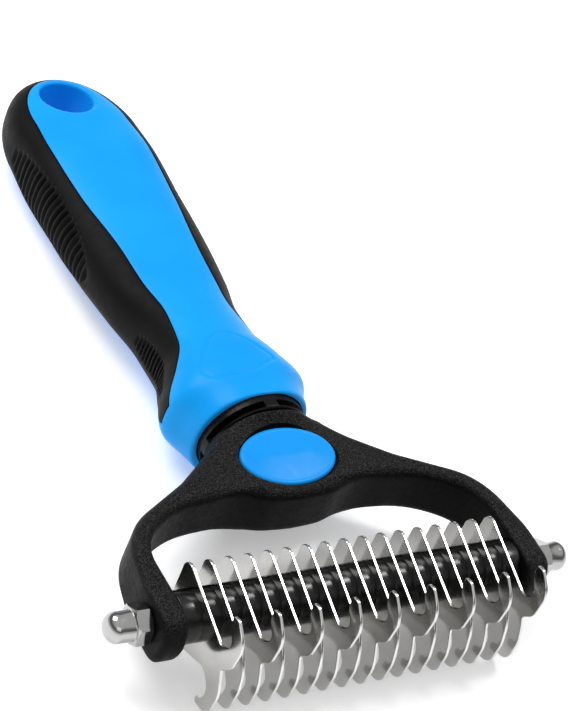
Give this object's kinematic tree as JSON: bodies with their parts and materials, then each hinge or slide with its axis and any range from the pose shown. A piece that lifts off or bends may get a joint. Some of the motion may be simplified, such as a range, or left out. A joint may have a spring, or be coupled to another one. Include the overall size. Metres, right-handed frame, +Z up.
{
  "type": "deshedding tool",
  "caption": "Double-sided dematting and undercoat rake: a stack of hooked steel blades on a shaft held in a moulded fork, with a two-material grip handle and a hanging hole.",
  "frame": {"origin": "middle of the bounding box on the surface that the tool lies on, on its back", "axes": "+Y along the handle from the blades to the hanging hole, +X along the blade shaft, +Z up out of the front, where the badge is"},
  "size_m": [0.1178, 0.186, 0.029],
  "materials": {
    "black_moulded": "fine spark-eroded texture, satin",
    "black_gloss": "smooth gloss",
    "black_grip": "soft matt, ribbed",
    "blue_plastic": "smooth satin",
    "steel": "polished stainless",
    "chrome": "bright nickel chrome"
  },
  "bodies": {
    "root": {"head_yoke": "black_moulded", "neck_collar": "black_moulded", "medallion_badge": "blue_plastic", "handle_body": "blue_plastic", "side_grip": "black_grip", "axle_rod": "steel", "acorn_nut_left": "chrome", "acorn_nut_right": "chrome", "end_bush_left": "black_gloss", "end_bush_right": "black_gloss", "spacer_01": "black_gloss", "spacer_02": "black_gloss", "spacer_03": "black_gloss", "spacer_04": "black_gloss", "spacer_05": "black_gloss", "spacer_06": "black_gloss", "spacer_07": "black_gloss", "spacer_08": "black_gloss", "spacer_09": "black_gloss", "spacer_10": "black_gloss", "spacer_11": "black_gloss", "spacer_12": "black_gloss", "spacer_13": "black_gloss", "spacer_14": "black_gloss", "spacer_15": "black_gloss", "spacer_16": "black_gloss", "blade_01": "steel", "blade_02": "steel", "blade_03": "steel", "blade_04": "steel", "blade_05": "steel", "blade_06": "steel", "blade_07": "steel", "blade_08": "steel", "blade_09": "steel", "blade_10": "steel", "blade_11": "steel", "blade_12": "steel", "blade_13": "steel", "blade_14": "steel", "blade_15": "steel", "blade_16": "steel", "blade_17": "steel"}
  },
  "joints": []
}
